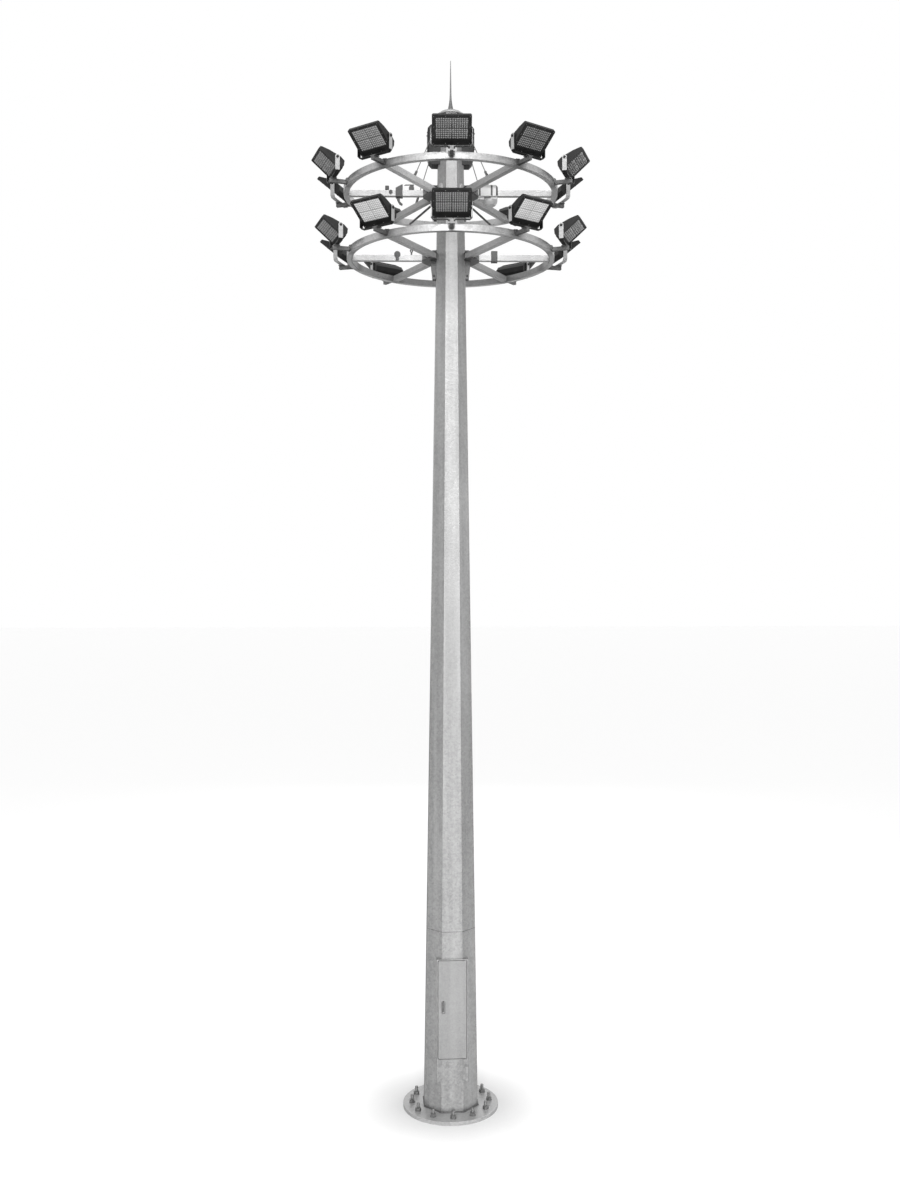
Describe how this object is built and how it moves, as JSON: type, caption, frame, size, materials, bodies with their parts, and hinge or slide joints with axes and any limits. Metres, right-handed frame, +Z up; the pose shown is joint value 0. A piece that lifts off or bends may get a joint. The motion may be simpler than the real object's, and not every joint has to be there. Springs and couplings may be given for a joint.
{
  "type": "high mast floodlight tower",
  "caption": "Tapered eight-sided galvanised steel mast on a round bolt-down base flange, with a service door and two fixed rings of tilting floodlights under a lightning rod.",
  "frame": {"origin": "centre of the base flange's underside, where the mast stands on its foundation", "axes": "+Z up along the mast, -Y is the front with the service door, +X to the right of someone who faces the door"},
  "size_m": [3.942, 3.9692, 15],
  "materials": {
    "shaft_steel": "hot-dip galvanised, matt",
    "door_steel": "hot-dip galvanised sheet, matt",
    "fastener_steel": "hot-dip galvanised fasteners",
    "lantern_steel": "hot-dip galvanised, matt",
    "yoke_steel": "galvanised strip, matt",
    "gear_case": "cast aluminium, matt",
    "lamp_housing": "die-cast housing, black powder coat"
  },
  "bodies": {
    "tower": {"anchor_nuts": "fastener_steel", "base_flange": "shaft_steel", "cable_hoods": "lantern_steel", "door_frame": "door_steel", "gear_case": "gear_case", "head_boxes": "lamp_housing", "lightning_rod": "fastener_steel", "lower_arms": "lantern_steel", "lower_brackets": "lantern_steel", "lower_ring": "lantern_steel", "lower_spokes": "lantern_steel", "lower_yokes": "yoke_steel", "shaft_cap": "shaft_steel", "shaft_lower": "shaft_steel", "shaft_upper": "shaft_steel", "spoke_fittings": "gear_case", "stay_lugs": "fastener_steel", "stays": "fastener_steel", "upper_arms": "lantern_steel", "upper_brackets": "lantern_steel", "upper_rear_braces": "lantern_steel", "upper_ring": "lantern_steel", "upper_spokes": "lantern_steel", "upper_yokes": "yoke_steel"},
    "door": {"door_leaf": "door_steel"},
    "door_handle": {"door_handle": "fastener_steel"},
    "floodlight_upper_01": {"floodlight_upper_01": "lamp_housing"},
    "floodlight_upper_02": {"floodlight_upper_02": "lamp_housing"},
    "floodlight_upper_03": {"floodlight_upper_03": "lamp_housing"},
    "floodlight_upper_04": {"floodlight_upper_04": "lamp_housing"},
    "floodlight_upper_05": {"floodlight_upper_05": "lamp_housing"},
    "floodlight_upper_06": {"floodlight_upper_06": "lamp_housing"},
    "floodlight_upper_07": {"floodlight_upper_07": "lamp_housing"},
    "floodlight_upper_08": {"floodlight_upper_08": "lamp_housing"},
    "floodlight_upper_09": {"floodlight_upper_09": "lamp_housing"},
    "floodlight_upper_10": {"floodlight_upper_10": "lamp_housing"},
    "floodlight_lower_01": {"floodlight_lower_01": "lamp_housing"},
    "floodlight_lower_02": {"floodlight_lower_02": "lamp_housing"},
    "floodlight_lower_03": {"floodlight_lower_03": "lamp_housing"},
    "floodlight_lower_04": {"floodlight_lower_04": "lamp_housing"},
    "floodlight_lower_05": {"floodlight_lower_05": "lamp_housing"},
    "floodlight_lower_06": {"floodlight_lower_06": "lamp_housing"},
    "floodlight_lower_07": {"floodlight_lower_07": "lamp_housing"},
    "floodlight_lower_08": {"floodlight_lower_08": "lamp_housing"},
    "floodlight_lower_09": {"floodlight_lower_09": "lamp_housing"},
    "floodlight_lower_10": {"floodlight_lower_10": "lamp_housing"}
  },
  "joints": [
    {"name": "door_hinge", "type": "hinge", "parent": "tower", "child": "door", "pos_m": [0.186, -0.36668, 1.5075], "axis": [0, 0, 1], "range_deg": [0, 110]},
    {"name": "handle_swing", "type": "hinge", "parent": "door", "child": "door_handle", "pos_m": [-0.13, -0.36818, 1.622], "axis": [-1, 0, 0], "range_deg": [0, 60]},
    {"name": "tilt_upper_01", "type": "hinge", "parent": "tower", "child": "floodlight_upper_01", "pos_m": [-0.10482, -1.7138, 13.351], "axis": [0.9981, -0.061, 0], "range_deg": [-40, 30]},
    {"name": "tilt_upper_02", "type": "hinge", "parent": "tower", "child": "floodlight_upper_02", "pos_m": [0.92254, -1.4481, 13.351], "axis": [0.8434, 0.5373, 0], "range_deg": [-40, 30]},
    {"name": "tilt_upper_03", "type": "hinge", "parent": "tower", "child": "floodlight_upper_03", "pos_m": [1.59753, -0.62928, 13.351], "axis": [0.3665, 0.9304, 0], "range_deg": [-40, 30]},
    {"name": "tilt_upper_04", "type": "hinge", "parent": "tower", "child": "floodlight_upper_04", "pos_m": [1.66231, 0.4299, 13.351], "axis": [-0.2504, 0.9681, 0], "range_deg": [-40, 30]},
    {"name": "tilt_upper_05", "type": "hinge", "parent": "tower", "child": "floodlight_upper_05", "pos_m": [1.09215, 1.32488, 13.351], "axis": [-0.7716, 0.6361, 0], "range_deg": [-40, 30]},
    {"name": "tilt_upper_06", "type": "hinge", "parent": "tower", "child": "floodlight_upper_06", "pos_m": [0.10482, 1.7138, 13.351], "axis": [-0.9981, 0.061, 0], "range_deg": [-40, 30]},
    {"name": "tilt_upper_07", "type": "hinge", "parent": "tower", "child": "floodlight_upper_07", "pos_m": [-0.92254, 1.4481, 13.351], "axis": [-0.8434, -0.5373, 0], "range_deg": [-40, 30]},
    {"name": "tilt_upper_08", "type": "hinge", "parent": "tower", "child": "floodlight_upper_08", "pos_m": [-1.59753, 0.62928, 13.351], "axis": [-0.3665, -0.9304, 0], "range_deg": [-40, 30]},
    {"name": "tilt_upper_09", "type": "hinge", "parent": "tower", "child": "floodlight_upper_09", "pos_m": [-1.66231, -0.4299, 13.351], "axis": [0.2504, -0.9681, 0], "range_deg": [-40, 30]},
    {"name": "tilt_upper_10", "type": "hinge", "parent": "tower", "child": "floodlight_upper_10", "pos_m": [-1.09215, -1.32488, 13.351], "axis": [0.7716, -0.6361, 0], "range_deg": [-40, 30]},
    {"name": "tilt_lower_01", "type": "hinge", "parent": "tower", "child": "floodlight_lower_01", "pos_m": [-0.10207, -1.66888, 12.429], "axis": [0.9981, -0.061, 0], "range_deg": [-40, 30]},
    {"name": "tilt_lower_02", "type": "hinge", "parent": "tower", "child": "floodlight_lower_02", "pos_m": [0.89836, -1.41015, 12.429], "axis": [0.8434, 0.5373, 0], "range_deg": [-40, 30]},
    {"name": "tilt_lower_03", "type": "hinge", "parent": "tower", "child": "floodlight_lower_03", "pos_m": [1.55566, -0.61279, 12.429], "axis": [0.3665, 0.9304, 0], "range_deg": [-40, 30]},
    {"name": "tilt_lower_04", "type": "hinge", "parent": "tower", "child": "floodlight_lower_04", "pos_m": [1.61874, 0.41864, 12.429], "axis": [-0.2504, 0.9681, 0], "range_deg": [-40, 30]},
    {"name": "tilt_lower_05", "type": "hinge", "parent": "tower", "child": "floodlight_lower_05", "pos_m": [1.06352, 1.29016, 12.429], "axis": [-0.7716, 0.6361, 0], "range_deg": [-40, 30]},
    {"name": "tilt_lower_06", "type": "hinge", "parent": "tower", "child": "floodlight_lower_06", "pos_m": [0.10207, 1.66888, 12.429], "axis": [-0.9981, 0.061, 0], "range_deg": [-40, 30]},
    {"name": "tilt_lower_07", "type": "hinge", "parent": "tower", "child": "floodlight_lower_07", "pos_m": [-0.89836, 1.41015, 12.429], "axis": [-0.8434, -0.5373, 0], "range_deg": [-40, 30]},
    {"name": "tilt_lower_08", "type": "hinge", "parent": "tower", "child": "floodlight_lower_08", "pos_m": [-1.55566, 0.61279, 12.429], "axis": [-0.3665, -0.9304, 0], "range_deg": [-40, 30]},
    {"name": "tilt_lower_09", "type": "hinge", "parent": "tower", "child": "floodlight_lower_09", "pos_m": [-1.61874, -0.41864, 12.429], "axis": [0.2504, -0.9681, 0], "range_deg": [-40, 30]},
    {"name": "tilt_lower_10", "type": "hinge", "parent": "tower", "child": "floodlight_lower_10", "pos_m": [-1.06352, -1.29016, 12.429], "axis": [0.7716, -0.6361, 0], "range_deg": [-40, 30]}
  ]
}
